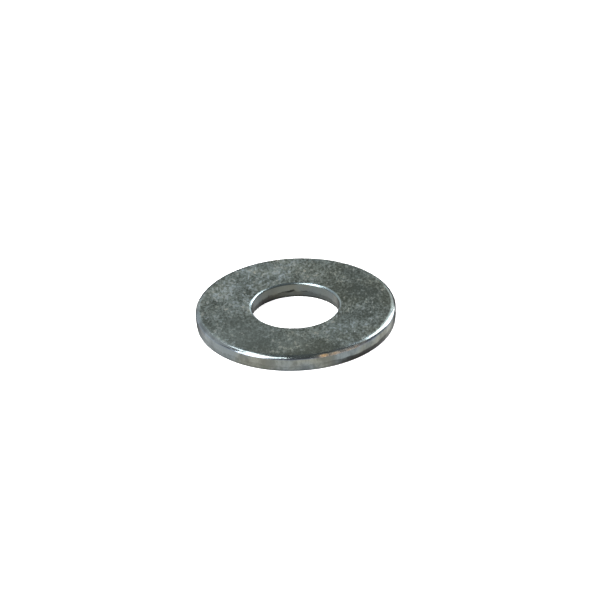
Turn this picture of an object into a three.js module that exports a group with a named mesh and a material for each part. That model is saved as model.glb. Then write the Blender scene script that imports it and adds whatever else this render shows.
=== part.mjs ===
// A plain flat washer, inch wide series for a 3/8 in bolt: one ring of low-carbon steel strip, blanked
// and pierced in a press, tumbled, then zinc plated. It is a single piece of metal, so it is one mesh.
//
// Units are millimetres and +Z is up. The origin is the centre of the hole, in the plane of the underside.
//
// The press leaves the same marks on the rim and in the hole. From the top face down they are a smooth
// roll, where the tool drew the face over; an upright land, burnished at the full size of the tool; a
// break, which leans back out of the tool's way; and a foot, where tumbling took off the burr.
import * as THREE from "three";

const INCH = 25.4;
const QUARTER_TURN = Math.PI / 2;

// Driving dimensions. The first three are the nominal sizes of the 3/8 in wide washer.
const OUTSIDE_DIAMETER = 1.0 * INCH;
const HOLE_DIAMETER = 0.438 * INCH;
const THICKNESS = 0.083 * INCH;

// Each cut edge: how far its roll reaches over the face and down the wall, the height at which its land
// turns into the break, how far the break leans back, and the radius of its foot.
const RIM = { rollWidth: 0.62, rollDepth: 0.5, breakHeight: 0.4 * THICKNESS, lean: 0.06, foot: 0.18 };
const HOLE = { rollWidth: 0.42, rollDepth: 0.28, breakHeight: 0.5 * THICKNESS, lean: 0.11, foot: 0.14 };

// How finely the ring is faceted: steps round it, and half the steps in each rounded corner.
const RING_STEPS = 72;
const CORNER_STEPS = 3;

/** Draws the rim from the underside up to the top face. */
function drawRim(profile) {
  const radius = OUTSIDE_DIAMETER / 2;
  const footCentre = radius - RIM.lean - RIM.foot;
  const rollCentre = radius - RIM.rollWidth;
  profile.absarc(footCentre, RIM.foot, RIM.foot, -QUARTER_TURN, 0, false);
  profile.lineTo(radius, RIM.breakHeight);
  profile.absellipse(
    rollCentre, THICKNESS - RIM.rollDepth, RIM.rollWidth, RIM.rollDepth, 0, QUARTER_TURN, false,
  );
}

/** Draws the wall of the hole from the top face down to the underside. */
function drawHole(profile) {
  const radius = HOLE_DIAMETER / 2;
  const footCentre = radius + HOLE.lean + HOLE.foot;
  const rollCentre = radius + HOLE.rollWidth;
  profile.absellipse(
    rollCentre, THICKNESS - HOLE.rollDepth, HOLE.rollWidth, HOLE.rollDepth,
    QUARTER_TURN, 2 * QUARTER_TURN, false,
  );
  profile.lineTo(radius, HOLE.breakHeight);
  profile.absarc(footCentre, HOLE.foot, HOLE.foot, 2 * QUARTER_TURN, 3 * QUARTER_TURN, false);
}

/** The ring's section as a closed outline: x is the distance from the axis and y the height. */
function ringSection() {
  const profile = new THREE.Path();
  profile.moveTo(HOLE_DIAMETER / 2 + HOLE.lean + HOLE.foot, 0);
  drawRim(profile);
  drawHole(profile);
  profile.closePath();
  return profile.getPoints(CORNER_STEPS);
}

/** The washer: its section turned about the axis of the hole, which is laid along +Z. */
function makeWasher() {
  const ring = new THREE.LatheGeometry(ringSection(), RING_STEPS);
  ring.rotateX(QUARTER_TURN);
  const zincPlate = new THREE.MeshStandardMaterial({ color: 0x8c9290, roughness: 0.36, metalness: 1 });
  const washer = new THREE.Mesh(ring, zincPlate);
  washer.name = "washer";
  return washer;
}

const part = new THREE.Group();
part.add(makeWasher());

export default part;
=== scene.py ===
"""Looks of a zinc plated flat washer lying on a light table.

The washer is one ring, stamped from steel strip. Its mesh is made here by Geometry Nodes, which walk round
the ring's section leg by leg, and it takes the place of the plainer ring that the frame holds. All lengths
are in metres.
"""

import logging
import math
from dataclasses import astuple, dataclass, field
from enum import Enum

import bpy
from mathutils import Euler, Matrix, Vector


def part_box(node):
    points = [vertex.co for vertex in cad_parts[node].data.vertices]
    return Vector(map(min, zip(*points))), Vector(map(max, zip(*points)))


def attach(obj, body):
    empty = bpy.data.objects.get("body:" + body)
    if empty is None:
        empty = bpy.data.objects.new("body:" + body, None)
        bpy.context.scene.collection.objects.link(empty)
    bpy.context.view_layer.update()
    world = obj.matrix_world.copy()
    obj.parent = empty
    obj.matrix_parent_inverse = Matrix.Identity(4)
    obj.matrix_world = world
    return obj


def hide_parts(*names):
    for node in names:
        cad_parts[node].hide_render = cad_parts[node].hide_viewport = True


LOG = logging.getLogger("washer")
MM = 0.001
QUARTER_TURN = math.pi / 2

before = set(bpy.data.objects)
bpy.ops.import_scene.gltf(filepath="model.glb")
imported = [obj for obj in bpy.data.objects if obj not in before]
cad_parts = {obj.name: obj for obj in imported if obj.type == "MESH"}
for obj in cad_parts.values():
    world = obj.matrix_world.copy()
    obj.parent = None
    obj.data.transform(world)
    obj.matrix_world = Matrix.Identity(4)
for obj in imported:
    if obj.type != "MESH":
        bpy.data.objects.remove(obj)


class Wire:
    """A node's output that Python operators work on: each operator adds the Math node that does its sum."""

    def __init__(self, graph: "Graph", socket: bpy.types.NodeSocket) -> None:
        """Keeps the graph and the output socket.

        Args:
            graph: the graph that new nodes are added to.
            socket: the output socket.
        """
        self.graph = graph
        self.socket = socket

    def __add__(self, other: "Value") -> "Wire":
        """Adds."""
        return self.graph.math("ADD", self, other)

    def __radd__(self, other: "Value") -> "Wire":
        """Adds, with the number on the left."""
        return self.graph.math("ADD", other, self)

    def __sub__(self, other: "Value") -> "Wire":
        """Subtracts."""
        return self.graph.math("SUBTRACT", self, other)

    def __rsub__(self, other: "Value") -> "Wire":
        """Subtracts this from the number on the left."""
        return self.graph.math("SUBTRACT", other, self)

    def __mul__(self, other: "Value") -> "Wire":
        """Multiplies."""
        return self.graph.math("MULTIPLY", self, other)

    def __rmul__(self, other: "Value") -> "Wire":
        """Multiplies, with the number on the left."""
        return self.graph.math("MULTIPLY", other, self)

    def __truediv__(self, other: "Value") -> "Wire":
        """Divides."""
        return self.graph.math("DIVIDE", self, other)

    def __neg__(self) -> "Wire":
        """Changes the sign."""
        return self.graph.math("MULTIPLY", self, -1.0)

    def __abs__(self) -> "Wire":
        """Drops the sign."""
        return self.graph.math("ABSOLUTE", self)


Value = Wire | float | int | tuple


class Graph:
    """Adds nodes to one node tree."""

    def __init__(self, tree: bpy.types.NodeTree) -> None:
        """Keeps the tree.

        Args:
            tree: a shader or geometry node tree.
        """
        self.tree = tree

    def add(self, kind: str, settings: dict | None = None, **sockets: Value) -> bpy.types.Node:
        """Adds one node.

        Args:
            kind: the node's type, such as "ShaderNodeTexNoise".
            settings: the node's own properties, which are set first. "stops" are a colour ramp's stops, each
                a place and a colour.
            sockets: a value or a wire for each input, by the input's name or identifier, with _ for a space.

        Returns:
            The node.
        """
        node = self.tree.nodes.new(kind)
        for name, setting in (settings or {}).items():
            if name == "stops":
                self._set_stops(node, setting)
            else:
                setattr(node, name, setting)
        for name, value in sockets.items():
            socket = self._find(node.inputs, name)
            if isinstance(value, Wire):
                self.tree.links.new(value.socket, socket)
            else:
                socket.default_value = value
        return node

    @staticmethod
    def _set_stops(node: bpy.types.Node, stops: list[tuple[float, tuple]]) -> None:
        """Replaces a colour ramp's stops.

        Args:
            node: the ramp.
            stops: a place and a colour for each stop, in order.
        """
        elements = node.color_ramp.elements
        while len(elements) > 1:
            elements.remove(elements[-1])
        elements[0].position, elements[0].color = stops[0]
        for place, colour in stops[1:]:
            elements.new(place).color = colour

    @staticmethod
    def _find(sockets: bpy.types.bpy_prop_collection, name: str) -> bpy.types.NodeSocket:
        """Finds a socket that is in use.

        Args:
            sockets: a node's inputs or outputs.
            name: the socket's identifier, or its name with _ for a space.

        Returns:
            The socket.
        """
        usable = [s for s in sockets if s.enabled]
        for socket in usable:
            if socket.identifier == name:
                return socket
        return next(s for s in usable if s.name.replace(" ", "_") == name)

    def out(self, node: bpy.types.Node, name: str | None = None) -> Wire:
        """Wraps a node's output.

        Args:
            node: the node.
            name: the output's name, or None for its first.

        Returns:
            The output as a wire.
        """
        return Wire(self, self._find(node.outputs, name) if name else node.outputs[0])

    def math(self, operation: str, *values: Value) -> Wire:
        """Adds a Math node.

        Args:
            operation: the node's operation.
            values: one, two or three numbers or wires.

        Returns:
            The result.
        """
        names = ("Value", "Value_001", "Value_002")
        return self.out(self.add("ShaderNodeMath", {"operation": operation}, **dict(zip(names, values))))

    def fade(self, value: Value, low: Value, high: Value) -> Wire:
        """Goes smoothly from 0 to 1 as a value goes from low to high.

        Args:
            value: the value.
            low: where the result is 0.
            high: where the result is 1.

        Returns:
            The result, from 0 to 1.
        """
        settings = {"interpolation_type": "SMOOTHSTEP"}
        sockets = {"Value": value, "From_Min": low, "From_Max": high, "To_Min": 0.0, "To_Max": 1.0}
        return self.out(self.add("ShaderNodeMapRange", settings, **sockets))

    def band(self, value: Value, start: float, full: float, fall: float, end: float) -> Wire:
        """Rises smoothly from 0 to 1 and falls back again.

        Args:
            value: the value.
            start: where the result leaves 0.
            full: where it reaches 1.
            fall: where it leaves 1.
            end: where it is back at 0.

        Returns:
            The result, from 0 to 1.
        """
        return self.fade(value, start, full) * (1.0 - self.fade(value, fall, end))

    def vector(self, x: Value, y: Value, z: Value) -> Wire:
        """Joins three numbers into a vector."""
        return self.out(self.add("ShaderNodeCombineXYZ", X=x, Y=y, Z=z))


class Bend(Enum):
    """How one leg of the section runs: straight, or round a quarter turn."""

    STRAIGHT = "straight"
    OUT_FIRST = "leaves along the radius and ends upright"
    UP_FIRST = "leaves upright and ends along the radius"


@dataclass(frozen=True)
class Leg:
    """One stretch of the section, which is walked with the metal on the left.

    Attributes:
        bend: how it runs.
        steps: how many faces it is cut into.
        out: how far it goes from the axis.
        up: how far it rises.
    """

    bend: Bend
    steps: int
    out: Value
    up: Value

    def travel(self, share: Wire) -> tuple[Wire, Wire]:
        """Says how far along the leg a point is.

        Args:
            share: how much of the leg is behind the point, from 0 to 1.

        Returns:
            How far out and how far up it has gone.
        """
        if self.bend is Bend.STRAIGHT:
            return share * self.out, share * self.up
        turn = share * QUARTER_TURN
        quick = share.graph.math("SINE", turn)
        slow = 1.0 - share.graph.math("COSINE", turn)
        if self.bend is Bend.OUT_FIRST:
            return quick * self.out, slow * self.up
        return slow * self.out, quick * self.up


@dataclass(frozen=True)
class CutEdge:
    """What the press and the tumbler left on one cut edge.

    Attributes:
        roll_width: how far the rolled corner reaches over the face.
        roll_depth: how far the rolled corner reaches down the wall.
        break_height: the height at which the burnished land turns into the break.
        lean: how far the break leans back.
        foot: the radius of the bottom corner.
        tear_depth: how deep the metal is torn in the break.
        wander: how much the roll's size wanders round the ring, as a share.
    """

    roll_width: float
    roll_depth: float
    break_height: float
    lean: float
    foot: float
    tear_depth: float
    wander: float


@dataclass(frozen=True)
class Nick:
    """A dent across a cut edge.

    Attributes:
        angle: where it is round the ring, in degrees.
        width: its width round the ring.
        height: the height of its middle.
        rise: how far it reaches above and below its middle.
        depth: how deep it is. A negative depth is a tear in the hole.
    """

    angle: float
    width: float
    height: float
    rise: float
    depth: float


@dataclass(frozen=True)
class Zones:
    """Which zone of the section a point is in, as numbers from 0 to 1.

    Attributes:
        rim_wall: 1 on the rim's wall, falling to 0 over its corners.
        hole_wall: the same for the hole.
        rim_torn: 1 in the rim's break.
        hole_torn: 1 in the hole's break.
        seam: 1 along the top of the hole's break, where the metal first tore.
    """

    rim_wall: Wire
    hole_wall: Wire
    rim_torn: Wire
    hole_torn: Wire
    seam: Wire


class RingTree:
    """The Geometry Nodes tree that walks round the section and round the ring at once."""

    LENGTHS = ("Outside Radius", "Hole Radius", "Thickness")
    EDGE_PARTS = ("Roll Width", "Roll Depth", "Break Height", "Lean", "Foot", "Tear Depth", "Wander")
    # The places of some legs in the list that _legs gives.
    RIM_FOOT, RIM_LAND, RIM_ROLL = 1, 3, 4
    HOLE_ROLL, HOLE_BREAK, HOLE_FOOT = 6, 8, 9
    # How far the waves of the face lie under the nominal thickness.
    FACE_DROP = 0.014 * MM
    # The depth of a tear in the hole that counts as full.
    FULL_TEAR = 0.13 * MM

    def __init__(self, nicks: tuple[Nick, ...]) -> None:
        """Builds the tree.

        Args:
            nicks: the dents across the rim and in the hole.
        """
        self.tree = bpy.data.node_groups.new("washer ring", "GeometryNodeTree")
        self.graph = Graph(self.tree)
        self.nicks = nicks
        self._declare()
        self.given = self.graph.add("NodeGroupInput")
        self._build()

    def _declare(self) -> None:
        names = [*self.LENGTHS]
        names += [f"{edge} {part}" for edge in ("Rim", "Hole") for part in self.EDGE_PARTS]
        for name in names:
            self.tree.interface.new_socket(name, in_out="INPUT", socket_type="NodeSocketFloat")
        self.tree.interface.new_socket("Ring Steps", in_out="INPUT", socket_type="NodeSocketInt")
        self.tree.interface.new_socket("Seed", in_out="INPUT", socket_type="NodeSocketFloat")
        self.tree.interface.new_socket("Material", in_out="INPUT", socket_type="NodeSocketMaterial")
        self.tree.interface.new_socket("Geometry", in_out="OUTPUT", socket_type="NodeSocketGeometry")

    def get(self, name: str) -> Wire:
        """Gives one of the tree's inputs as a wire."""
        return self.graph.out(self.given, name.replace(" ", "_"))

    def noise(self, place: Wire, size: float, shift: float, detail: float = 2.0) -> Wire:
        """Adds a smooth noise in space.

        Args:
            place: where it is read.
            size: how far apart its lumps are.
            shift: what is added to the tree's seed.
            detail: how many finer layers it has.

        Returns:
            The noise, from about -1 to 1.
        """
        sockets = {"Vector": place, "W": self.get("Seed") + shift, "Scale": 1.0 / size, "Detail": detail}
        node = self.graph.add("ShaderNodeTexNoise", {"noise_dimensions": "4D"}, **sockets)
        return self.graph.out(node) * 2.0 - 1.0

    def _legs(self, circle: Wire) -> tuple[Leg, ...]:
        """Lists the section's legs, from the underside out, up the rim, over the face and down the hole.

        Args:
            circle: the point's place on a circle round the axis, at the outside radius.

        Returns:
            The legs in order.
        """
        outside, hole, thick = (self.get(name) for name in self.LENGTHS)
        rim_size = 1.0 + self.get("Rim Wander") * self.noise(circle, 5 * MM, 1.0)
        hole_size = 1.0 + self.get("Hole Wander") * self.noise(circle, 6 * MM, 2.0)
        rim_width = self.get("Rim Roll Width") * rim_size
        rim_depth = self.get("Rim Roll Depth") * rim_size
        hole_width = self.get("Hole Roll Width") * hole_size
        hole_depth = self.get("Hole Roll Depth") * hole_size
        ragged = 0.75 * self.noise(circle, 3.4 * MM, 3.0, 5.0)
        ragged = ragged + 0.12 * self.noise(circle, 0.5 * MM, 9.0)
        rim_break = self.get("Rim Break Height") * (1.0 + ragged)
        ragged = 0.26 * self.noise(circle, 3.4 * MM, 4.0, 5.0)
        ragged = ragged + 0.26 * self.noise(circle, 0.55 * MM, 10.0)
        hole_break = self.get("Hole Break Height") * (1.0 + ragged)
        rim_foot, hole_foot = self.get("Rim Foot"), self.get("Hole Foot")
        rim_lean, hole_lean = self.get("Rim Lean"), self.get("Hole Lean")
        under = outside - rim_lean - rim_foot - hole - hole_lean - hole_foot
        face = outside - rim_width - hole - hole_width
        return (
            Leg(Bend.STRAIGHT, steps=20, out=under, up=0.0),
            Leg(Bend.OUT_FIRST, steps=6, out=rim_foot, up=rim_foot),
            Leg(Bend.STRAIGHT, steps=12, out=rim_lean, up=rim_break - rim_foot),
            Leg(Bend.STRAIGHT, steps=10, out=0.0, up=thick - rim_depth - rim_break),
            Leg(Bend.UP_FIRST, steps=22, out=-rim_width, up=rim_depth),
            Leg(Bend.STRAIGHT, steps=56, out=-face, up=0.0),
            Leg(Bend.OUT_FIRST, steps=16, out=-hole_width, up=-hole_depth),
            Leg(Bend.STRAIGHT, steps=10, out=0.0, up=hole_break + hole_depth - thick),
            Leg(Bend.STRAIGHT, steps=12, out=hole_lean, up=hole_foot - hole_break),
            Leg(Bend.UP_FIRST, steps=5, out=hole_foot, up=-hole_foot),
        )

    def _build(self) -> None:
        """Adds the nodes, from the flat grid to the finished ring."""
        graph = self.graph
        corner = graph.out(graph.add("GeometryNodeInputPosition"))
        corner = graph.add("ShaderNodeSeparateXYZ", Vector=corner)
        angle = (graph.out(corner, "X") + 0.5) * math.tau
        cosine, sine = graph.math("COSINE", angle), graph.math("SINE", angle)
        outside = self.get("Outside Radius")
        legs = self._legs(graph.vector(outside * cosine, outside * sine, 0.0))
        section_steps = sum(leg.steps for leg in legs)
        row = (graph.out(corner, "Y") + 0.5) * section_steps

        radius = self.get("Hole Radius") + self.get("Hole Lean") + self.get("Hole Foot")
        height: Value = 0.0
        shares = []
        walked = 0
        for leg in legs:
            share = graph.math("MINIMUM", graph.math("MAXIMUM", (row - walked) / leg.steps, 0.0), 1.0)
            out, up = leg.travel(share)
            radius, height = radius + out, up + height
            shares.append(share)
            walked += leg.steps
        tearing = shares[self.HOLE_BREAK]
        zones = Zones(
            rim_wall=shares[self.RIM_FOOT] - shares[self.RIM_ROLL],
            hole_wall=shares[self.HOLE_ROLL] - shares[self.HOLE_FOOT],
            rim_torn=shares[self.RIM_FOOT] * (1.0 - graph.fade(shares[self.RIM_LAND], 0.0, 0.12)),
            hole_torn=graph.fade(tearing, 0.0, 0.4) * (1.0 - shares[self.HOLE_FOOT]),
            seam=graph.band(tearing, 0.0, 0.08, 0.1, 0.4),
        )

        place = graph.vector(radius * cosine, radius * sine, height)
        radius, height, deep = self._wear(place, radius, height, zones)
        marks = {
            "wall": zones.rim_wall + zones.hole_wall,
            "torn": zones.rim_torn + zones.hole_torn,
            "bore": zones.hole_wall,
            "deep": deep,
        }
        self._finish(section_steps, graph.vector(radius * cosine, radius * sine, height), marks)

    def _wear(self, place: Wire, radius: Wire, height: Wire, zones: Zones) -> tuple[Wire, Wire, Wire]:
        """Roughens the true section: tears in the breaks, slight waves everywhere, and nicks.

        Args:
            place: the point on the true section.
            radius: its distance from the axis.
            height: its height.
            zones: the zones that it is in.

        Returns:
            The worn distance from the axis, the worn height, and how deep in a tear the point lies, where 1
            is fully.
        """
        graph = self.graph
        stretch = {"Vector": place, "Vector_001": (1.0, 1.0, 0.45)}
        upright = graph.out(graph.add("ShaderNodeVectorMath", {"operation": "MULTIPLY"}, **stretch))
        grain = abs(self.noise(upright, 0.42 * MM, 5.0, 3.0))
        gouge = graph.fade(self.noise(upright, 1.7 * MM, 6.0, 3.0), 0.18, 0.5)
        first_tear = zones.seam * graph.fade(self.noise(place, 1.3 * MM, 11.0, 4.0), -0.15, 0.25)
        tear = 0.45 * grain + 0.8 * gouge + 0.5 * first_tear
        long_wave = self.noise(place, 2.4 * MM, 7.0) * (0.010 * MM)
        wave = long_wave + self.noise(place, 0.9 * MM, 8.0) * (0.004 * MM)
        nicked, torn_out = self._nick(place, height)
        rim_cut = zones.rim_torn * tear * self.get("Rim Tear Depth") + wave * zones.rim_wall
        hole_cut = zones.hole_torn * tear * self.get("Hole Tear Depth") + wave * zones.hole_wall
        top = graph.fade(height, 0.3 * MM, 1.2 * MM)
        flat = 1.0 - zones.rim_wall - zones.hole_wall
        radius = radius - rim_cut + hole_cut - nicked * (zones.rim_wall - zones.hole_wall)
        height = height - (wave + self.FACE_DROP) * flat * top - nicked * flat
        deep = gouge * (zones.rim_torn + zones.hole_torn) * 0.6 + first_tear * 0.8
        return radius, height, deep + torn_out / self.FULL_TEAR

    def _nick(self, place: Wire, height: Wire) -> tuple[Wire, Wire]:
        """Adds up the nicks.

        Args:
            place: the point on the true section.
            height: its height.

        Returns:
            How deep the point is nicked, and how much of that is a tear in the hole.
        """
        graph = self.graph
        nicked: Value = 0.0
        torn_out: Value = 0.0
        parts = graph.add("ShaderNodeSeparateXYZ", Vector=place)
        for nick in self.nicks:
            centre = self.get("Hole Radius") if nick.depth < 0 else self.get("Outside Radius")
            turn = math.radians(nick.angle)
            along = (graph.out(parts, "X") - centre * math.cos(turn)) / nick.width
            across = (graph.out(parts, "Y") - centre * math.sin(turn)) / nick.width
            above = (height - nick.height) / nick.rise
            near = graph.math("EXPONENT", -(along * along + across * across + above * above))
            nicked = near * abs(nick.depth) + nicked
            if nick.depth < 0:
                torn_out = near * abs(nick.depth) + torn_out
        return nicked, torn_out

    def _finish(self, section_steps: int, place: Wire, marks: dict[str, Wire]) -> None:
        """Adds the grid, moves its corners to the ring, closes its two seams and outputs it.

        Args:
            section_steps: how many steps the section has.
            place: where each corner of the grid goes.
            marks: the attributes that the finish reads, by name.
        """
        graph = self.graph
        columns = self.get("Ring Steps") + 1.0
        sockets = {"Size_X": 1.0, "Size_Y": 1.0, "Vertices_X": columns, "Vertices_Y": section_steps + 1}
        mesh = graph.out(graph.add("GeometryNodeMeshGrid", **sockets))
        for name, mark in marks.items():
            settings = {"data_type": "FLOAT", "domain": "POINT"}
            sockets = {"Geometry": mesh, "Name": name, "Value": mark}
            mesh = graph.out(graph.add("GeometryNodeStoreNamedAttribute", settings, **sockets))
        mesh = graph.out(graph.add("GeometryNodeSetPosition", Geometry=mesh, Position=place))
        mesh = graph.out(graph.add("GeometryNodeMergeByDistance", Geometry=mesh, Distance=0.001 * MM))
        mesh = graph.out(graph.add("GeometryNodeSetShadeSmooth", Geometry=mesh))
        mesh = graph.out(graph.add("GeometryNodeRealizeInstances", Geometry=mesh))
        mesh = graph.out(graph.add("GeometryNodeSetMaterial", Geometry=mesh, Material=self.get("Material")))
        graph.add("NodeGroupOutput", Geometry=mesh)

    def identifier(self, name: str) -> str:
        """Gives the identifier of one of the tree's inputs."""
        items = self.tree.interface.items_tree
        return next(item.identifier for item in items if item.name == name and item.in_out == "INPUT")


@dataclass
class StampedWasher:
    """The washer: one ring of strip steel, stamped, tumbled and zinc plated.

    Attributes:
        rim: what the press left on the outside.
        hole: what the press left in the hole.
        nicks: the dents across its edges.
        ring_steps: how many steps the ring is cut into.
        seed: the seed of its wear.
    """

    rim: CutEdge = CutEdge(0.74 * MM, 0.5 * MM, 0.84 * MM, 0.06 * MM, 0.18 * MM, 0.05 * MM, 0.08)
    hole: CutEdge = CutEdge(0.34 * MM, 0.25 * MM, 1.05 * MM, 0.11 * MM, 0.14 * MM, 0.11 * MM, 0.1)
    nicks: tuple[Nick, ...] = (
        Nick(262.0, 0.14 * MM, 1.75 * MM, 0.5 * MM, 0.035 * MM),
        Nick(334.0, 0.12 * MM, 1.05 * MM, 0.6 * MM, 0.03 * MM),
        Nick(231.0, 0.3 * MM, 2.0 * MM, 0.3 * MM, 0.02 * MM),
        Nick(91.5, 0.2 * MM, 1.12 * MM, 0.07 * MM, -0.1 * MM),
        Nick(94.5, 0.3 * MM, 1.0 * MM, 0.09 * MM, -0.12 * MM),
        Nick(98.5, 0.34 * MM, 0.88 * MM, 0.07 * MM, -0.08 * MM),
    )
    ring_steps: int = 520
    seed: float = 3.0

    def build(self, material: bpy.types.Material) -> bpy.types.Object:
        """Makes the ring at the frame's size.

        Args:
            material: the finish that it gets.

        Returns:
            The ring, as a plain mesh.
        """
        low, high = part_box("washer")
        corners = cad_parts["washer"].data.vertices
        hole_radius = min(math.hypot(corner.co.x, corner.co.y) for corner in corners)
        tree = RingTree(self.nicks)
        lengths = ((high.x - low.x) / 2, hole_radius, high.z - low.z)
        sizes = dict(zip(tree.LENGTHS, lengths))
        for edge_name, edge in (("Rim", self.rim), ("Hole", self.hole)):
            sizes |= {f"{edge_name} {part}": value for part, value in zip(tree.EDGE_PARTS, astuple(edge))}
        sizes |= {"Ring Steps": self.ring_steps, "Seed": self.seed, "Material": material}

        ring = bpy.data.objects.new("washer_ring", bpy.data.meshes.new("washer_ring"))
        bpy.context.scene.collection.objects.link(ring)
        modifier = ring.modifiers.new("ring", "NODES")
        modifier.node_group = tree.tree
        for name, value in sizes.items():
            modifier[tree.identifier(name)] = value
        depsgraph = bpy.context.evaluated_depsgraph_get()
        mesh = bpy.data.meshes.new_from_object(ring.evaluated_get(depsgraph))
        ring.modifiers.clear()
        ring.data = mesh
        return ring

    def dress(self, ring: bpy.types.Object) -> None:
        """Puts the ring on its body, in place of the frame's washer.

        Args:
            ring: the ring.
        """
        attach(ring, "root")
        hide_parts("washer")
        LOG.info("%s: %d faces", ring.name, len(ring.data.polygons))


class Finish:
    """A material whose patterns are read in the object's own space."""

    def __init__(self, name: str) -> None:
        """Makes an empty material.

        Args:
            name: the material's name.
        """
        self.material = bpy.data.materials.new(name)
        self.material.use_nodes = True
        self.material.node_tree.nodes.clear()
        self.graph = Graph(self.material.node_tree)
        self.place = self.graph.out(self.graph.add("ShaderNodeTexCoord"), "Object")

    def mark(self, name: str) -> Wire:
        """Reads one of the mesh's own attributes as a number."""
        return self.graph.out(self.graph.add("ShaderNodeAttribute", {"attribute_name": name}), "Fac")

    def turned(self, degrees: float, stretch: tuple[float, float, float], shift: float = 0.0) -> Wire:
        """Turns and stretches the object's space.

        Args:
            degrees: the turn about the axis of the hole.
            stretch: the scale along each axis after the turn.
            shift: how far it is moved, so that two patterns don't match.

        Returns:
            The place in that space.
        """
        sockets = {"Vector": self.place, "Location": (shift, shift, 0.0),
                   "Rotation": (0.0, 0.0, math.radians(degrees)), "Scale": stretch}
        return self.graph.out(self.graph.add("ShaderNodeMapping", {"vector_type": "POINT"}, **sockets))

    def noise(
        self, size: float, detail: float = 2.0, rough: float = 0.5, bend: float = 0.0,
        seed: float = 0.0, place: Wire | None = None,
    ) -> Wire:
        """Adds a smooth noise.

        Args:
            size: how far apart its lumps are.
            detail: how many finer layers it has.
            rough: how strong the finer layers are.
            bend: how much it is pulled about.
            seed: which noise it is.
            place: where it is read, or None for the object's own space.

        Returns:
            The noise, from 0 to 1 and mostly near a half.
        """
        sockets = {"Vector": place or self.place, "W": seed, "Scale": 1.0 / size, "Detail": detail,
                   "Roughness": rough, "Distortion": bend}
        return self.graph.out(self.graph.add("ShaderNodeTexNoise", {"noise_dimensions": "4D"}, **sockets))

    def tint(self, factor: Value, under: Value, over: Value, blend: str = "MIX") -> Wire:
        """Lays one colour over another.

        Args:
            factor: how much of the upper colour shows.
            under: the lower colour.
            over: the upper colour.
            blend: the Mix node's way of mixing.

        Returns:
            The colour.
        """
        settings = {"data_type": "RGBA", "blend_type": blend, "clamp_result": True}
        sockets = {"Factor_Float": factor, "A_Color": under, "B_Color": over}
        return self.graph.out(self.graph.add("ShaderNodeMix", settings, **sockets), "Result_Color")

    def close(self, relief: Wire, **sockets: Value) -> bpy.types.Material:
        """Ends the material in its shader.

        Args:
            relief: the fine relief's height in millimetres.
            sockets: the shader's inputs.

        Returns:
            The material.
        """
        bump = self.graph.add("ShaderNodeBump", Height=relief, Distance=MM, Strength=1.0)
        shader = self.graph.add("ShaderNodeBsdfPrincipled", Normal=self.graph.out(bump), **sockets)
        self.graph.add("ShaderNodeOutputMaterial", Surface=self.graph.out(shader))
        return self.material


@dataclass(frozen=True)
class Patch:
    """A soft round area that differs from the rest of the ring.

    Attributes:
        angle: where its middle is round the ring, in degrees.
        radius: how far its middle is from the axis.
        size: how far it reaches.
        strength: how strong it is in its middle.
    """

    angle: float
    radius: float
    size: float
    strength: float = 1.0

    def mask(self, finish: Finish) -> Wire:
        """Says how deep in the patch a point lies.

        Args:
            finish: the finish that it is part of.

        Returns:
            The strength at its middle, falling to 0 at its edge.
        """
        turn = math.radians(self.angle)
        middle = (self.radius * math.cos(turn), self.radius * math.sin(turn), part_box("washer")[1].z)
        graph = finish.graph
        measure = {"operation": "DISTANCE"}
        apart = graph.add("ShaderNodeVectorMath", measure, Vector=finish.place, Vector_001=middle)
        return graph.fade(graph.out(apart, "Value"), self.size, 0.0) * self.strength


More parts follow.
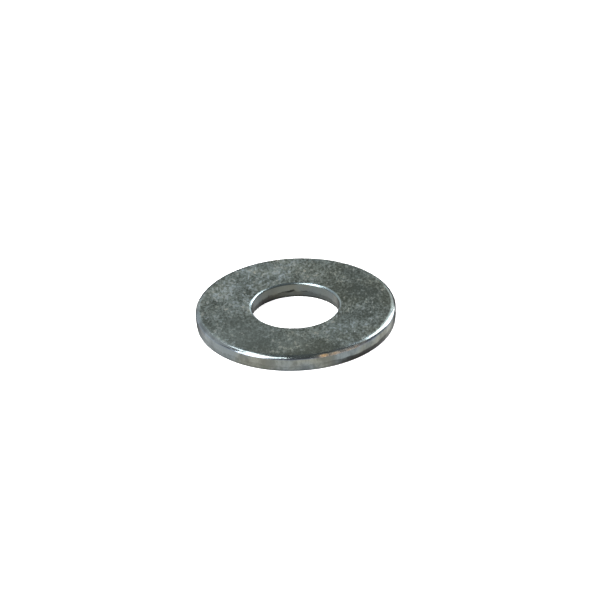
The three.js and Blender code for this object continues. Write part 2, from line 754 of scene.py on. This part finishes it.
@dataclass(frozen=True)
class ZincPlate:
    """Bright zinc plate on tumbled steel, under a thin clear passivation film.

    Attributes:
        fleck_blue: the colour of its bright flecks where the film is thin.
        fleck_straw: the colour of its bright flecks where the film is thick.
        dull: the plate's colour where the tumbling has matted it.
        shaded: the plate's colour where it is duller still.
        worked: the plate's colour on the rim's edge.
        bore: the plate's colour in the hole, darker than on the rim as painted shade.
        torn: the colour of the plated break.
        painted_shade: the colour of the painted shade in the breaks and on the wall of the hole.
        tear_and_foot_shade: the colour of the painted shade in its tears and along its feet.
        film_blue: the film's tint where it is thin.
        film_straw: the film's tint where it is thick.
        film_deep: the film's tint on the rolls.
        film_violet: the film's tint where it runs off an edge.
        warm_reflection_tint: the colour of the painted warm reflection on the rim's roll.
        worn: where the face is brighter.
        faded: where the face is duller.
        scuffed: where the face is covered in short bright scuffs.
        warm_reflection_patches: where the painted warm reflection lies on the rim's roll.
        shade_patches: where painted shade darkens the breaks, the wall of the hole and the feet.
        calm: where the face is less flecked.
        thin: where the film is thinner, at the rim.
        matt: the face's roughness.
        polish: the roughness of the rolls and lands.
    """

    fleck_blue: tuple = (0.84, 0.96, 0.98, 1.0)
    fleck_straw: tuple = (0.97, 0.98, 0.84, 1.0)
    dull: tuple = (0.54, 0.62, 0.58, 1.0)
    shaded: tuple = (0.13, 0.152, 0.128, 1.0)
    worked: tuple = (0.30, 0.31, 0.292, 1.0)
    bore: tuple = (0.178, 0.188, 0.176, 1.0)
    torn: tuple = (0.155, 0.16, 0.148, 1.0)
    painted_shade: tuple = (0.05, 0.05, 0.045, 1.0)
    tear_and_foot_shade: tuple = (0.02, 0.02, 0.018, 1.0)
    film_blue: tuple = (0.80, 0.90, 1.0, 1.0)
    film_straw: tuple = (1.0, 0.98, 0.86, 1.0)
    film_deep: tuple = (0.56, 0.78, 1.0, 1.0)
    film_violet: tuple = (0.66, 0.66, 1.0, 1.0)
    warm_reflection_tint: tuple = (0.25, 0.15, 0.06, 1.0)
    worn: tuple[Patch, ...] = (
        Patch(118.0, 9.6 * MM, 9.5 * MM, 0.5),
        Patch(158.0, 9.4 * MM, 6.0 * MM, 0.6),
        Patch(316.0, 8.6 * MM, 4.5 * MM, 0.7),
    )
    faded: tuple[Patch, ...] = (
        Patch(12.0, 9.0 * MM, 6.0 * MM, 0.75),
        Patch(48.0, 9.5 * MM, 4.5 * MM, 0.35),
        Patch(250.0, 12.0 * MM, 5.0 * MM, 0.3),
        Patch(283.0, 12.6 * MM, 4.0 * MM, 0.9),
    )
    scuffed: tuple[Patch, ...] = (Patch(155.0, 9.6 * MM, 3.0 * MM), Patch(45.0, 8.9 * MM, 1.8 * MM, 0.6))
    # Patches of painted warm reflection on the rim's roll, at the front right.
    warm_reflection_patches: tuple[Patch, ...] = (
        Patch(284.5, 12.6 * MM, 0.9 * MM, 0.8),
        Patch(289.5, 12.6 * MM, 0.8 * MM, 0.6),
        Patch(297.0, 12.6 * MM, 5.0 * MM, 0.65),
    )
    # Patches of painted shade: on the rim's break at the front right, and in the hole at the back left.
    shade_patches: tuple[Patch, ...] = (
        Patch(314.0, 12.7 * MM, 7.5 * MM, 1.8),
        Patch(145.0, 5.6 * MM, 5.5 * MM, 1.6),
    )
    calm: tuple[Patch, ...] = (
        Patch(228.0, 10.0 * MM, 7.5 * MM, 0.8),
        Patch(268.0, 9.8 * MM, 4.5 * MM, 0.6),
        Patch(310.0, 8.4 * MM, 3.5 * MM, 0.5),
    )
    thin: tuple[Patch, ...] = (Patch(216.0, 12.7 * MM, 7.5 * MM), Patch(298.0, 12.7 * MM, 3.0 * MM))
    matt: float = 0.34
    polish: float = 0.16

    def make(self) -> bpy.types.Material:
        """Makes the material.

        Returns:
            The material.
        """
        surface = PlateSurface(self)
        finish = surface.finish
        painted_warm_reflection = surface.painted_warm_reflection()
        colour = finish.tint(surface.edge_on, surface.face_colour(), surface.edge_colour())
        # A painted warm reflection browns the rim's roll and makes it less metallic there.
        colour = finish.tint(painted_warm_reflection, surface.film_over(colour), self.warm_reflection_tint)
        # Painted shade darkens the tears and runs along the feet.
        colour = finish.tint(surface.painted_tear_and_foot_shade(), colour, self.tear_and_foot_shade)
        rough = surface.roughness() + painted_warm_reflection * 0.3
        metal = 1.0 - painted_warm_reflection * 0.8
        return finish.close(surface.relief(), Base_Color=colour, Roughness=rough, Metallic=metal)


class PlateSurface:
    """The marks, patches and noises that the plate's colour, gloss and relief are made from."""

    def __init__(self, plate: ZincPlate) -> None:
        """Reads the ring's marks, places the patches and adds the noises.

        Args:
            plate: the plate's colours and patches.
        """
        self.plate = plate
        self.finish = Finish("zinc_plate")
        self.graph = self.finish.graph
        self.wall = self.finish.mark("wall")
        self.torn = self.finish.mark("torn")
        self.bore = self.finish.mark("bore")
        self.deep = self.finish.mark("deep")
        self.edge_on = self.graph.fade(self.wall, 0.0, 0.45)

        self.worn = self._sum(plate.worn)
        self.faded = self._sum(plate.faded)
        self.scuffed = self._sum(plate.scuffed)
        self.warm_reflection_patches = self._sum(plate.warm_reflection_patches)
        self.shade_patches = self._sum(plate.shade_patches)
        self.calm = self._sum(plate.calm)
        self.thin = self._sum(plate.thin)

        strip = self.finish.turned(0.0, (1.0, 0.62, 1.0))
        upright = self.finish.turned(0.0, (1.0, 1.0, 0.05))
        upright_slightly = self.finish.turned(0.0, (1.0, 1.0, 0.6))
        self.clouds = self.finish.noise(3.2 * MM, 2.0, seed=1.0)
        self.mottle = self.finish.noise(0.9 * MM, 3.0, 0.6, 0.5, seed=2.0, place=strip)
        self.spark = self.finish.noise(0.4 * MM, 2.0, 0.6, seed=3.0, place=strip)
        self.pit = self.finish.noise(0.22 * MM, 1.0, 0.6, seed=18.0, place=strip)
        self.drag = self.finish.noise(0.13 * MM, 2.0, 0.6, seed=12.0, place=upright)
        self.crumb = self.finish.noise(0.34 * MM, 3.0, 0.6, seed=13.0)
        self.bloom = self.finish.noise(1.7 * MM, 4.0, 0.6, seed=16.0, place=upright_slightly)

        self.density = (self.clouds - 0.5) * 0.3 + self.worn * 0.1 - self.faded * 0.12
        self.scuff = self._draw_scuffs()
        self.tone = self._mottle_tone()
        self.bright = self._draw_flecks()

    def _sum(self, patches: tuple[Patch, ...]) -> Value:
        """Adds up the masks of some patches."""
        return sum((patch.mask(self.finish) for patch in patches), 0.0)

    def _mottle_tone(self) -> Wire:
        """Mottles the face.

        Returns:
            Its tone, from 0 where it is shaded to 1 where it is only dull.
        """
        mixed = self.pit * 0.5 + self.spark * 0.27 + self.mottle * 0.28 + self.density
        tone = self.graph.fade(mixed, 0.39, 0.71)
        return tone + self.calm * (0.4 - tone) * 0.7

    def _draw_scuffs(self) -> Wire:
        """Draws short curled scuffs, which lie along the middle level of a noise.

        Returns:
            The scuffs, 1 along their middles.
        """
        level = abs(self.finish.noise(0.7 * MM, 1.0, 0.5, 0.8, seed=4.0) - 0.5)
        spread = self.finish.noise(1.1 * MM, 1.0, seed=5.0) + self.scuffed * 0.3
        return (1.0 - self.graph.fade(level, 0.0, 0.035)) * self.graph.fade(spread, 0.56, 0.64)

    def _draw_flecks(self) -> Wire:
        """Adds the bright flecks to the scuffs.

        Returns:
            How bright the face is with both, from 0 to 1.
        """
        mixed = self.spark * 0.7 + self.pit * 0.3 + self.density * 0.7 + (self.mottle - 0.5) * 0.3
        flecks = (1.0 - self.calm * 0.7) * self.graph.fade(mixed, 0.55, 0.64)
        both = flecks * (0.75 + self.worn * 0.5) + self.scuff * (0.15 + self.scuffed * 0.7)
        return self.graph.math("MINIMUM", both, 1.0)

    def _draw_scratches(self) -> Wire:
        """Draws fine straight scratches in three directions.

        Returns:
            The scratches, 1 along their middles.
        """
        scratches: Value = 0.0
        for index, degrees in enumerate((18.0, 74.0, 131.0)):
            lane = self.finish.turned(degrees, (1.0, 0.03, 1.0), index * 0.01)
            line = self.finish.noise(0.075 * MM, 1.0, seed=6.0 + index, place=lane)
            reach = self.finish.noise(2.8 * MM, 1.0, seed=9.0 + index)
            scratches = self.graph.fade(line, 0.66, 0.74) * self.graph.fade(reach, 0.52, 0.64) + scratches
        return scratches

    def face_colour(self) -> Wire:
        """Colours the face.

        Returns:
            The colour.
        """
        plate, tint = self.plate, self.finish.tint
        hue = self.finish.noise(0.8 * MM, 1.0, seed=17.0) + (self.faded - self.worn) * 0.2 + 0.02
        fleck = tint(self.graph.fade(hue, 0.38, 0.62), plate.fleck_blue, plate.fleck_straw)
        return tint(self.bright, tint(self.tone, plate.shaded, plate.dull), fleck)

    def edge_colour(self) -> Wire:
        """Colours the rolls, the lands and the breaks, with painted shade in the hole and in the breaks and
        a painted sheen on the hole's lip.

        Returns:
            The colour.
        """
        plate, graph, tint = self.plate, self.graph, self.finish.tint
        torn, bore, crumb = self.torn, self.bore, self.crumb
        # How strong the painted shade of the shade patches is.
        painted_shade = graph.math("MINIMUM", self.shade_patches, 1.0)
        # A painted sheen lightens the hole's rolled lip with the pale fleck colour.
        painted_lip_sheen = graph.band(bore, 0.0, 0.2, 0.55, 0.9)
        blotches = graph.fade(self.bloom, 0.42, 0.6) * 0.75 + graph.fade(self.drag, 0.5, 0.75) * 0.2
        # The hole's wall takes the darker bore colour, which is painted shade.
        colour = tint(blotches, tint(bore, plate.worked, plate.bore), plate.torn)
        colour = tint(torn * (0.2 + graph.fade(crumb, 0.35, 0.65) * 0.5), colour, plate.torn)
        # Painted shade darkens the hole's break, and the breaks and the hole's wall in the shade patches.
        colour = tint(torn * bore * (0.25 + crumb * 0.5), colour, plate.painted_shade)
        colour = tint(painted_shade * torn * (0.55 + crumb * 0.8), colour, plate.painted_shade)
        colour = tint(painted_shade * bore * 0.3, colour, plate.painted_shade)
        return tint(painted_lip_sheen * (1.0 - torn) * 0.2, colour, plate.fleck_blue)

    def film_over(self, colour: Wire) -> Wire:
        """Lays the clear film over the metal.

        Args:
            colour: the metal's colour.

        Returns:
            The colour under the film.
        """
        plate, graph, tint = self.plate, self.graph, self.finish.tint
        hue = self.finish.noise(4.5 * MM, 2.0, 0.5, 0.4, seed=14.0) + (self.faded - self.worn) * 0.12
        film = tint(graph.fade(hue - self.thin * 0.3, 0.38, 0.62), plate.film_blue, plate.film_straw)
        run_off = graph.band(self.wall, 0.6, 0.85, 0.9, 1.0) * (1.0 - graph.fade(self.bore, 0.0, 0.1))
        rolled = graph.band(self.wall, 0.02, 0.3, 0.75, 0.98)
        colour = tint(run_off * (0.45 - self.thin * 0.3), colour, plate.film_violet, "MULTIPLY")
        colour = tint(0.25 + self.wall * 0.5, colour, film, "MULTIPLY")
        return tint(rolled * (0.45 - self.thin * 0.25), colour, plate.film_deep, "MULTIPLY")

    def painted_warm_reflection(self) -> Wire:
        """Says how much painted warm reflection lies on the rim's roll, as a brown tint.

        Returns:
            The share, from 0 to 1.
        """
        # The brown tint is a painted warm reflection, on the lower part of the roll.
        roll = self.graph.band(self.wall, 0.35, 0.6, 0.86, 0.98)
        warm_reflection_patches = self.graph.math("MINIMUM", self.warm_reflection_patches, 1.0)
        return warm_reflection_patches * roll * (0.45 + self.graph.fade(self.mottle, 0.46, 0.6) * 0.45)

    def painted_tear_and_foot_shade(self) -> Wire:
        """Says how much painted shade darkens the tears and the feet, where contact shade falls.

        Returns:
            The share.
        """
        low = self.graph.out(self.graph.add("ShaderNodeSeparateXYZ", Vector=self.finish.place), "Z")
        # Painted contact shade along the feet, taller and darker in the hole and in the shade patches.
        above = self.graph.fade(low, 0.1 * MM, (0.45 + self.shade_patches * 0.35) * MM)
        foot = (1.0 - above) * (0.3 + self.bore * 0.5 + self.shade_patches * 0.45)
        return self.graph.math("MAXIMUM", self.graph.fade(self.deep, 0.25, 0.9) * 0.9, foot)

    def roughness(self) -> Wire:
        """Works out the metal's roughness.

        Returns:
            The roughness.
        """
        graph, plate = self.graph, self.plate
        matt = plate.matt - (self.tone + self.bright) * 0.06 + (self.clouds - 0.5) * 0.1
        polish = plate.polish + (self.drag - 0.5) * 0.12 + graph.fade(self.bore, 0.0, 0.2) * 0.07
        shine = graph.fade(self.wall, 0.05, 0.6)
        return matt * (1.0 - shine) + polish * shine + self.torn * (0.16 + (self.crumb - 0.5) * 0.2)

    def relief(self) -> Wire:
        """Works out the fine relief.

        Returns:
            Its height in millimetres.
        """
        pitted = self.mottle * 0.020 + self.spark * 0.010
        face = pitted - self._draw_scratches() * 0.004 + self.scuff * 0.004
        wall = self.drag * 0.004 + self.finish.noise(0.6 * MM, 2.0, seed=15.0) * 0.012
        return (1.0 - self.edge_on) * face + self.wall * wall + self.torn * self.crumb * 0.016


@dataclass(frozen=True)
class LightTable:
    """The smooth translucent sheet that the washer lies on, lit from below so that it takes no shadow.

    Attributes:
        white: its colour.
        shade: its colour in its faint clouds.
        glow: how bright it is by its own light, where 1 is white.
    """

    white: tuple = (0.92, 0.92, 0.92, 1.0)
    shade: tuple = (0.90, 0.90, 0.902, 1.0)
    glow: float = 0.75

    def make(self) -> bpy.types.Material:
        """Makes the material.

        Returns:
            The material.
        """
        finish = Finish("light_table")
        clouds = finish.noise(60 * MM, 3.0)
        tooth = finish.noise(0.4 * MM, 2.0, seed=1.0)
        colour = finish.tint(clouds, self.white, self.shade)
        return finish.close(tooth * 0.004, Base_Color=colour, Roughness=0.75, Specular_IOR_Level=0.2,
                            Emission_Color=colour, Emission_Strength=self.glow)


@dataclass(frozen=True)
class SoftBox:
    """A rectangular studio light that faces the washer.

    Attributes:
        name: its name.
        bearing: its direction from the washer, anticlockwise from +X, in degrees.
        rise: its height above the floor's plane as the washer sees it, in degrees.
        width: how wide the washer sees it, in degrees.
        height: how tall the washer sees it, in degrees.
        brightness: how bright its face is, where 1 is white.
        reach: its distance.
    """

    name: str
    bearing: float
    rise: float
    width: float
    height: float
    brightness: float
    reach: float = 3.0

    def place(self) -> None:
        """Adds the light."""
        light = bpy.data.lights.new(self.name, "AREA")
        light.shape = "RECTANGLE"
        light.size = 2 * self.reach * math.tan(math.radians(self.width / 2))
        light.size_y = 2 * self.reach * math.tan(math.radians(self.height / 2))
        light.energy = self.brightness * math.pi * light.size * light.size_y
        lamp = bpy.data.objects.new(self.name, light)
        bearing, rise = math.radians(self.bearing), math.radians(self.rise)
        level = math.cos(rise)
        away = Vector((level * math.cos(bearing), level * math.sin(bearing), math.sin(rise)))
        lamp.rotation_mode = "QUATERNION"
        lamp.rotation_quaternion = away.to_track_quat("Z", "Y")
        lamp.location = away * self.reach
        lamp.visible_camera = False
        bpy.context.scene.collection.objects.link(lamp)


def greys(*stops: tuple[float, float]) -> list[tuple[float, tuple]]:
    """Gives the stops of a ramp of slightly cool greys.

    Args:
        stops: a height, from -1 straight below to 1 overhead, and a brightness for each stop, in order.

    Returns:
        A place from 0 to 1 and a colour for each stop.
    """
    return [((height + 1.0) / 2.0, (level, level * 1.02, level * 1.03, 1.0)) for height, level in stops]


@dataclass
class Studio:
    """The sweep, the lights and the room that the washer mirrors.

    Attributes:
        lights: the soft boxes.
        front: the room's greys by height, in front of the washer and beside it.
        back: the room's greys by height, behind the washer.
        flat_reach: how far the sweep is flat.
        bend: the radius in which it turns up.
        wall: how high its wall is.
    """

    lights: tuple[SoftBox, ...] = (
        SoftBox("window", 41.0, 28.0, 25.0, 46.0, 8.0),
        SoftBox("window_glow", 66.0, 27.0, 19.0, 26.0, 1.5),
        SoftBox("lamp", 218.5, 35.0, 37.0, 70.0, 8.0),
        SoftBox("lamp_top", 178.0, 65.0, 44.0, 12.0, 6.0),
        SoftBox("left_fill", 140.0, 22.0, 66.0, 60.0, 0.62),
    )
    front: list = field(default_factory=lambda: greys(
        (-1.0, 0.8), (-0.5, 0.98), (0.0, 0.95), (0.1, 0.8),
        (0.22, 0.36), (0.5, 0.2), (0.75, 0.15), (1.0, 0.16),
    ))
    back: list = field(default_factory=lambda: greys(
        (-1.0, 0.1), (-0.1, 0.1), (0.15, 0.16), (0.3, 0.31), (0.5, 0.27), (0.75, 0.15), (1.0, 0.16),
    ))
    flat_reach: float = 0.7
    bend: float = 0.3
    wall: float = 0.25

    def build_floor(self) -> bpy.types.Object:
        """Makes the sweep: a round floor just under the washer, whose border turns up into a wall.

        Returns:
            The sweep.
        """
        around, bend_steps = 96, 10
        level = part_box("washer")[0].z - 0.01 * MM
        turns = [QUARTER_TURN * step / bend_steps for step in range(1, bend_steps + 1)]
        middle_reach = self.flat_reach / 8
        rings = [(middle_reach, 0.0), (self.flat_reach, 0.0)]
        rings += [(self.flat_reach + self.bend * math.sin(t), self.bend * (1 - math.cos(t))) for t in turns]
        rings.append((self.flat_reach + self.bend, self.bend + self.wall))
        corners = [(0.0, 0.0, level)]
        for radius, height in rings:
            for step in range(around):
                turn = math.tau * step / around
                corners.append((radius * math.cos(turn), radius * math.sin(turn), level + height))
        faces: list[tuple[int, ...]] = [(0, 1 + step, 1 + (step + 1) % around) for step in range(around)]
        for ring in range(len(rings) - 1):
            inner, outer = 1 + ring * around, 1 + (ring + 1) * around
            for step in range(around):
                after = (step + 1) % around
                faces.append((inner + step, outer + step, outer + after, inner + after))
        mesh = bpy.data.meshes.new("sweep")
        mesh.from_pydata(corners, [], faces)
        floor = bpy.data.objects.new("sweep", mesh)
        bpy.context.scene.collection.objects.link(floor)
        return floor

    def dress(self, floor: bpy.types.Object) -> None:
        """Gives the sweep its sheet, and lights the room.

        Args:
            floor: the sweep.
        """
        floor.data.materials.append(LightTable().make())
        floor.visible_glossy = False
        floor.visible_shadow = False
        self._light_room()
        for light in self.lights:
            light.place()
        bpy.context.scene.view_settings.view_transform = "Standard"
        LOG.info("studio: %d lights", len(self.lights))

    def _light_room(self) -> None:
        """Shades the room by height, and more darkly behind the washer."""
        world = bpy.data.worlds.new("room")
        world.use_nodes = True
        world.node_tree.nodes.clear()
        graph = Graph(world.node_tree)
        direction = graph.out(graph.add("ShaderNodeTexCoord"), "Generated")
        towards = graph.add("ShaderNodeSeparateXYZ", Vector=direction)
        height = graph.out(towards, "Z") * 0.5 + 0.5
        behind = graph.fade(graph.out(towards, "Y"), 0.55, 0.85)
        front = graph.out(graph.add("ShaderNodeValToRGB", {"stops": self.front}, Fac=height))
        back = graph.out(graph.add("ShaderNodeValToRGB", {"stops": self.back}, Fac=height))
        colours = {"Factor_Float": behind, "A_Color": front, "B_Color": back}
        shade = graph.add("ShaderNodeMix", {"data_type": "RGBA"}, **colours)
        sky = graph.add("ShaderNodeBackground", Color=graph.out(shade, "Result_Color"), Strength=1.0)
        graph.add("ShaderNodeOutputWorld", Surface=graph.out(sky))
        bpy.context.scene.world = world


@dataclass(frozen=True)
class StudioCamera:
    """The camera, which looks down at the washer.

    Attributes:
        rise: its height above the floor's plane as the washer sees it, in degrees.
        reach: its distance from the washer's middle.
        lens: its focal length, in millimetres.
        roll: how far it is turned about its own line of sight, in degrees.
        shift: how far the frame is moved right and up, as shares of its width.
    """

    rise: float = 30.25
    reach: float = 0.2822
    lens: float = 133.5
    roll: float = -2.6
    shift: tuple[float, float] = (0.0072, 0.0199)

    def place(self) -> None:
        """Adds the camera and makes it the scene's."""
        lens = bpy.data.cameras.new("camera")
        lens.lens = self.lens
        lens.shift_x, lens.shift_y = self.shift
        lens.clip_start = 0.01
        camera = bpy.data.objects.new("camera", lens)
        low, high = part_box("washer")
        rise = math.radians(self.rise)
        away = Vector((0.0, -math.cos(rise), math.sin(rise)))
        camera.location = (low + high) / 2 + away * self.reach
        camera.rotation_mode = "QUATERNION"
        roll = Euler((0.0, 0.0, math.radians(self.roll))).to_quaternion()
        camera.rotation_quaternion = away.to_track_quat("Z", "Y") @ roll
        bpy.context.scene.collection.objects.link(camera)
        bpy.context.scene.camera = camera


def main() -> None:
    """Builds the camera, the studio and the washer."""
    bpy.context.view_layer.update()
    StudioCamera().place()
    studio = Studio()
    studio.dress(studio.build_floor())
    washer = StampedWasher()
    washer.dress(washer.build(ZincPlate().make()))


if __name__ == "__main__":
    logging.basicConfig(level=logging.INFO)
    main()
